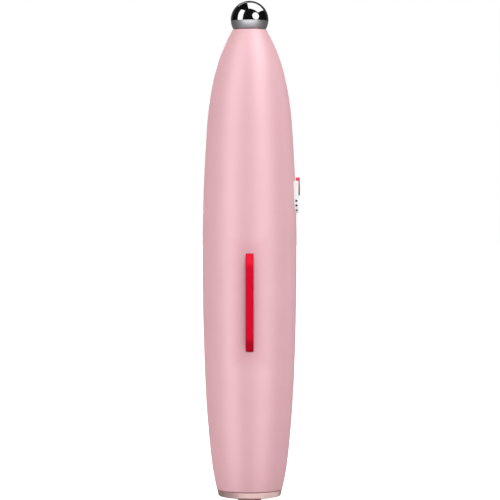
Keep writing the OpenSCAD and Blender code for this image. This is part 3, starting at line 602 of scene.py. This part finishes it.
def collar_profile():
    """The collar, which carries on the ball's curve down to the nose seal."""
    low, high = BODY_TOP + SEAL_T, COLLAR_TOP
    low_a = math.degrees(math.asin((low - BALL_Z) / BALL_R))
    high_a = math.degrees(math.asin((high - BALL_Z) / BALL_R))
    pts = [(STUD_R + RUN_GAP, low), (sphere_r(low) - 0.12, low)]
    pts += arc(0, BALL_Z, BALL_R, low_a + 1.0, high_a - 1.3, 28)
    pts += [(sphere_r(high) - 0.09, high), (STUD_R + RUN_GAP, high)]
    return pts


ball = piece(lathe("polished_ball", ball_profile()), polished_metal, "casing", "polished_metal",
             "ball_electrode")
collar = piece(lathe("satin_collar", collar_profile()), satin_metal, "casing", "satin_metal",
               "electrode_collar")


# Front bar

def bar_mesh():
    """The bar with its sloped ends, and the flange and two posts behind it."""
    corner, edge, knee, tip, crown, in_flange, past_slope = 0.5, 0.42, 0.7, 0.3, 0.02, 0.2, 5.2
    ends = [corner * (1 - math.cos(math.radians(a))) for a in range(0, 91, 9)]
    inner = [BAR_SLOPE * k / 10 for k in range(2, 15)]
    marks = sorted({round(d, 4) for d in [0.0, *ends, *inner]})
    zs = [BAR_LOW + d for d in marks] + steps(BAR_LOW + past_slope, BAR_HIGH - past_slope, 24)
    zs += [BAR_HIGH - d for d in reversed(marks)]
    rise = (BAR_PROUD - BAR_END_PROUD) / BAR_SLOPE
    loops = []
    for z in zs:
        d = min(z - BAR_LOW, BAR_HIGH - z)
        half = BAR_W / 2
        if d < corner:
            half += -corner + math.sqrt(corner**2 - (corner - d) ** 2)
        height = min(d, BAR_SLOPE) * rise
        if abs(d - BAR_SLOPE) < knee:
            height -= rise * (knee - abs(d - BAR_SLOPE)) ** 2 / (4 * knee)
        drop = 0.0 if d > tip else tip - math.sqrt(tip**2 - (tip - d) ** 2)
        y = -outline_r(z) - BAR_END_PROUD - height + drop
        e = min(edge, half * 0.85)
        right = [(half, FLANGE_FRONT + in_flange), *arc(half - e, y + e, e, 0, -90, 8)]
        loops.append(mirrored([*right, ((half - e) * 0.5, y - crown)], z))
    parts = [loft("bar_top", loops, 38)]
    back = FLANGE_FRONT + BAR_FLANGE_T
    parts.append(bevel(block("flange", (-BAR_FLANGE_W / 2, FLANGE_FRONT, BAR_LOW - BAR_FLANGE_PAST),
                             (BAR_FLANGE_W / 2, back, BAR_HIGH + BAR_FLANGE_PAST)), 0.12))
    for z in (BAR_LOW + POST_INSET, BAR_HIGH - POST_INSET):
        parts.append(loft("post", [circle(0, y, z, POST_R) for y in (back - 0.3, POST_BACK)]))
    return join("push_bar", parts)


bar = piece(bar_mesh(), crimson_bar, "mode_bar", "crimson_bar", "mode_bar")


# Side switch

def plate_mesh():
    """The plate, whose face rounds over at its edge and into the slot."""
    edge = 0.3
    loops = [plate_loop(0, PLATE_FLOOR, True)]
    for a in range(0, 91, 15):
        t = math.radians(a)
        grow = -edge * (1 - math.cos(t))
        loops.append(plate_loop(grow, PLATE_FACE - edge + edge * math.sin(t), True))
    return loft("switch_base", loops)


def dot_place(i):
    """Middle of a dot, on the plate's side edge between the casing and the plate's face."""
    z = PLATE_LOW + DOT_FIRST + i * DOT_PITCH
    drop = max(0.0, PLATE_LOW + PLATE_CORNER - z)
    y = -PLATE_W / 2 + PLATE_CORNER - math.sqrt(PLATE_CORNER**2 - drop * drop)
    x = (math.sqrt(outline_r(z) ** 2 - y * y) + PLATE_FACE) / 2
    return x, y, z


def dots_mesh():
    """Three domed dots; dome gives shares of the radius and how far each stands out."""
    dome = ((1.0, -DOT_DEPTH), (1.0, 0.0), (0.96, 0.045), (0.8, 0.08), (0.5, 0.1), (0.2, 0.106))
    parts = []
    for x, y, z in map(dot_place, range(3)):
        parts.append(loft("dot", [circle(x, y - out, z, DOT_R * share) for share, out in dome], 60))
    return join("index_marks", parts)


def slider_mesh():
    """The thumb cap: a leg on the plate's face, hooked over the plate's top, with a web into the slot."""
    web_high = PLATE_HIGH - FIT_GAP
    inner = PLATE_FACE + RUN_GAP
    outer = inner + THUMB_T
    low = THUMB_TOP - THUMB_LEN
    half, corner = THUMB_W / 2, 0.9
    outline = [(-half, THUMB_TOP), *arc(-half + corner, low + corner, corner, 180, 270, 12)]
    outline += [*arc(half - corner, low + corner, corner, 270, 360, 12), (half, THUMB_TOP)]
    thumb = loft("slider_cap", [[(x, y, z) for y, z in outline] for x in (inner, outer)])
    deep, rest_in = outer - THUMB_T / 2, outline_r(PLATE_HIGH) + REST_GAP
    section = [(WEB_IN, web_high - WEB_LEN), (deep, web_high - WEB_LEN), (deep, THUMB_TOP)]
    section += [(rest_in, THUMB_TOP), (rest_in, web_high), (WEB_IN, web_high)]
    hook = loft("hook", [[(x, y, z) for x, z in section] for y in (-WEB_W / 2, WEB_W / 2)])
    return bevel(combine(thumb, [hook], "UNION"), 0.13)


piece(plate_mesh(), white_plastic, "casing", "white_plastic", "switch_plate")
piece(dots_mesh(), dark_rubber, "casing", "dark_rubber", "index_dots")
piece(slider_mesh(), hot_pink, "slide_cap", "hot_pink", "slide_cap")


# Tail

def cap_profile():
    """The cap: rim, ridged spigot, and the steps that hold the switch and the button."""
    top_r, hole_r = TAIL_END_R - FIT_GAP, BUTTON_R + FIT_GAP
    spigot = TAIL_BORE_R - FIT_GAP / 2 - BUSH_WALL - RUN_GAP
    spigot_in = spigot - SPIGOT_WALL
    step_r = spigot_in - FIT_GAP - CAP_STEP
    low, hole_edge = -CAP_UNDER, 0.12
    thread_low, parts, thread_depth = SPIGOT_TOP - THREAD_TURNS * THREAD_PITCH, 8, 0.22
    pts = [(hole_r, low + hole_edge), (hole_r + hole_edge, low)]
    pts += arc(top_r - CAP_TAPER - CAP_EDGE, low + CAP_EDGE, CAP_EDGE, -90, -2, 10)
    pts += [(top_r - 0.02, CAP_FLOOR - 0.08), (top_r - 0.1, CAP_FLOOR), (spigot, CAP_FLOOR)]
    pts.append((spigot, thread_low - 0.3))
    for k in range(THREAD_TURNS * parts):
        ridge = thread_depth * abs(math.sin(math.pi * k / parts))
        pts.append((spigot - 0.02 - ridge, thread_low + k * THREAD_PITCH / parts))
    pts += [(spigot - 0.15, SPIGOT_TOP), (spigot_in, SPIGOT_TOP), (spigot_in, SWITCH_LOW)]
    pts += [(step_r, SWITCH_LOW), (step_r, CAP_FLOOR), (hole_r, CAP_FLOOR)]
    return pts


def button_profile():
    """The button, slightly dished, with the flange that keeps it in the cap."""
    low, e, flange_r = -BUTTON_PROUD, BUTTON_EDGE, BUTTON_R + BUTTON_FLANGE_W
    pts = [(0, low + 0.12), (1.2, low + 0.09), (2.2, low + 0.02), *arc(BUTTON_R - e, low + e, e, -90, 0, 10)]
    return pts + [(BUTTON_R, FLANGE_SEAT), (flange_r, FLANGE_SEAT), (flange_r, SPRING_LOW), (0, SPRING_LOW)]


def spring_mesh():
    """The button's coil spring, from the button's flange to the switch case."""
    count, half, sides = SPRING_TURNS * 36, SPRING_WIRE / 2, 14
    round_wire = [math.tau * i / sides for i in range(sides)]
    loops = []
    for k in range(count + 1):
        a = math.tau * SPRING_TURNS * k / count
        z = SPRING_LOW + half + (SPRING_HIGH - SPRING_LOW - SPRING_WIRE) * k / count
        section = [(SPRING_R + half * math.cos(t), z + half * math.sin(t)) for t in round_wire]
        loops.append([(r * math.cos(a), r * math.sin(a), up) for r, up in section])
    return loft("return_spring", loops)


cap = piece(lathe("end_cap", cap_profile()), champagne_metal, "tail_cap", "champagne_metal", "tail_cap")
piece(lathe("end_button", button_profile(), 128), mauve_button, "tail_button", "mauve_button", "tail_button")
spring = piece(spring_mesh(), steel, "tail_cap", "steel", "button_spring")
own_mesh(spring)


# Floor, light and camera

def floor_finish():
    """Matt pale floor that the camera sees as white."""
    f = Finish("pale_floor", 0.7, Specular_IOR_Level=0.2)
    f.colours(f.noise(4), (0.3, (0.61, 0.61, 0.61)), (0.7, (0.63, 0.63, 0.63)))
    f.bsdf.inputs["Emission Color"].default_value = (1, 1, 1, 1)
    seen = f.ranged(f.add("ShaderNodeLightPath").outputs["Is Camera Ray"], 0.0, 0.85, 0.0, 1.0)
    f.wire(seen, f.bsdf.inputs["Emission Strength"])
    f.bump(f.noise(900), 0.02, 0.02)
    return f.mat


FLOOR_Z, FLOOR_HALF = -BUTTON_PROUD - 0.02, 6000
corners = ((-1, -1), (1, -1), (1, 1), (-1, 1))
floor = make("floor", [(x * FLOOR_HALF, y * FLOOR_HALF, FLOOR_Z) for x, y in corners], [(0, 1, 2, 3)])
floor.data.materials.append(floor_finish())
floor.visible_glossy = False


def world_light():
    """White to the camera, soft and pale on the surfaces, and dark in reflections so that the lamps show."""
    world = bpy.data.worlds.new("studio")
    scene.world = world
    world.use_nodes = True
    tree = world.node_tree
    tree.nodes.clear()
    path = tree.nodes.new("ShaderNodeLightPath")
    split = tree.nodes.new("ShaderNodeSeparateXYZ")
    tree.links.new(tree.nodes.new("ShaderNodeTexCoord").outputs["Generated"], split.inputs["Vector"])

    def along(axis, start, low, high):
        node = tree.nodes.new("ShaderNodeMapRange")
        for key, number in {"From Min": start, "From Max": 1, "To Min": low, "To Max": high}.items():
            node.inputs[key].default_value = number
        tree.links.new(split.outputs[axis], node.inputs["Value"])
        return node.outputs["Result"]

    def background(strength=None):
        node = tree.nodes.new("ShaderNodeBackground")
        node.inputs["Color"].default_value = (1, 1, 1, 1)
        if strength:
            tree.links.new(strength, node.inputs["Strength"])
        return node.outputs["Background"]

    def by_ray(kind, others, these):
        node = tree.nodes.new("ShaderNodeMixShader")
        tree.links.new(path.outputs[kind], node.inputs["Fac"])
        tree.links.new(others, node.inputs[1])
        tree.links.new(these, node.inputs[2])
        return node.outputs["Shader"]

    # Ambient light is a little stronger from the left, and what shiny surfaces see has a grey back
    ambient = background(along("X", -1, 1.32, 0.88))
    mirrored_room = background(along("Y", 0.55, 0.004, 0.09))
    unseen = by_ray("Is Glossy Ray", ambient, mirrored_room)
    out = tree.nodes.new("ShaderNodeOutputWorld")
    tree.links.new(by_ray("Is Camera Ray", unseen, background()), out.inputs["Surface"])


def linked(name, things, state):
    """A collection for light linking whose things are all included or all excluded."""
    group = bpy.data.collections.new(name)
    for thing in things:
        group.objects.link(thing)
    for entry in group.collection_objects:
        entry.light_linking.link_state = state
    return group


def lamp(name, toward, distance, size, radiance, target=BALL_Z * MM, across=None, disk=False, only=(),
         through=(), diffuse=False, glossy=True):
    """An area lamp in direction toward from the axis at height target. radiance is what a mirror shows of it,
    across is the direction of its first side, only names the pieces that it lights, and through what doesn't
    shade it."""
    data = bpy.data.lights.new(name, "AREA")
    data.shape = "DISK" if disk else "RECTANGLE"
    data.size, data.size_y = size
    data.energy = radiance * math.pi * size[0] * size[1] * (math.pi / 4 if disk else 1)
    obj = bpy.data.objects.new(name, data)
    scene.collection.objects.link(obj)
    out = Vector(toward).normalized()
    first = Vector(across) if across else Vector((0, 0, 1)).cross(out)
    first = (first - first.dot(out) * out).normalized()
    obj.location = Vector((0, 0, target)) + out * distance
    obj.rotation_euler = Matrix((first, out.cross(first), out)).transposed().to_euler()
    obj.visible_camera = False
    obj.visible_diffuse, obj.visible_glossy = diffuse, glossy
    if only:
        obj.light_linking.receiver_collection = linked(name, only, "INCLUDE")
    if through:
        obj.light_linking.blocker_collection = linked(name + "_through", through, "EXCLUDE")


def around(azimuth, elevation):
    """Direction to the right of the camera's side by azimuth, and up by elevation, in degrees."""
    a, e = math.radians(azimuth), math.radians(elevation)
    return math.sin(a) * math.cos(e), -math.cos(a) * math.cos(e), math.sin(e)


world_light()
# The ball mirrors a tall strip, a big square window and a round lamp
lamp("ball_strip", around(-60, 11), 1.0, (0.62, 1.74), 1.05, only=[ball])
lamp("ball_window", (0.382, 0.089, 0.92), 1.0, (1.13, 1.13), 1.05, across=(1.046, -0.007, -0.434),
     only=[ball])
lamp("ball_round", (0.599, -0.736, 0.316), 1.0, (0.75, 0.75), 1.05, disk=True, only=[ball])
lamp("ball_back", (-0.269, 0.686, 0.676), 1.0, (0.39, 0.09), 0.8, across=(0.363, 0.035, 0.106),
     only=[ball])
lamp("collar_front", around(2, 5), 1.0, (2.4, 1.1), 2.1, only=[collar])
# Soft lobes of sheen on the lacquer
SHELLS = [front, rear]
lamp("left_soft", around(-47, 4), 1.3, (0.48, 1.9), 22.5, target=0.08, only=SHELLS, through=[floor])
lamp("right_soft", around(34, 4), 1.3, (0.75, 1.7), 16, target=0.08, only=SHELLS, through=[floor])
lamp("nose_soft", around(48, 52), 1.3, (0.9, 0.8), 25, target=0.1, only=SHELLS)
lamp("nose_left", around(-44, 50), 1.3, (0.6, 0.6), 13, target=0.1, only=SHELLS)
lamp("right_edge", around(112, 10), 1.3, (0.8, 1.3), 3, target=0.08, only=SHELLS)
# Light from the sides, from behind, and on the bar's top and flanks
lamp("key", around(42, 40), 1.2, (0.5, 0.5), 4.0, target=0.06, diffuse=True, glossy=False)
lamp("fill", around(-75, 10), 1.2, (0.5, 0.6), 1.8, target=0.06, diffuse=True, glossy=False)
lamp("back_key", around(205, 30), 1.2, (0.5, 0.5), 3.0, target=0.06, diffuse=True, glossy=False)
lamp("back_soft", around(180, 8), 1.3, (0.5, 1.8), 18, target=0.08, only=SHELLS, through=[floor])
lamp("bar_top", around(0, 60), 1.0, (0.6, 0.6), 17, target=0.06, only=[bar], diffuse=True, glossy=False)
lamp("bar_sides", around(60, 30), 1.0, (0.5, 0.8), 4, target=0.06, only=[bar])
lamp("bar_left", around(-60, 30), 1.0, (0.5, 0.8), 4, target=0.06, only=[bar])
# The cap is bright in front and on the right, and dark at its left end
lamp("cap_front", around(4, -38), 1.0, (1.9, 1.3), 1.25, target=0.002, only=[cap], through=[floor])
lamp("cap_left", around(-75, -30), 1.0, (1.0, 1.0), 0.3, target=0.002, only=[cap], through=[floor])
lamp("cap_right", around(95, -35), 1.0, (1.4, 1.2), 0.95, target=0.002, only=[cap], through=[floor])

# The photograph's camera stands 0.67 m in front of the axis and looks down a little
CAMERA_AWAY, CAMERA_HEIGHT, CAMERA_RIGHT, CAMERA_DOWN = 0.67, 0.0835, 0.00012, 0.872
cam_data = bpy.data.cameras.new("camera")
cam_data.lens, cam_data.sensor_width = 161.0, 36.0
camera = bpy.data.objects.new("camera", cam_data)
scene.collection.objects.link(camera)
camera.location = (CAMERA_RIGHT, -CAMERA_AWAY, CAMERA_HEIGHT)
camera.rotation_euler = (math.radians(90 - CAMERA_DOWN), 0, 0)
cam_data.clip_start, cam_data.clip_end = 0.01, 50
scene.camera = camera
scene.view_settings.view_transform = "Standard"
scene.view_settings.look = "None"
scene.view_settings.exposure = 0.0
scene.view_settings.gamma = 1.0
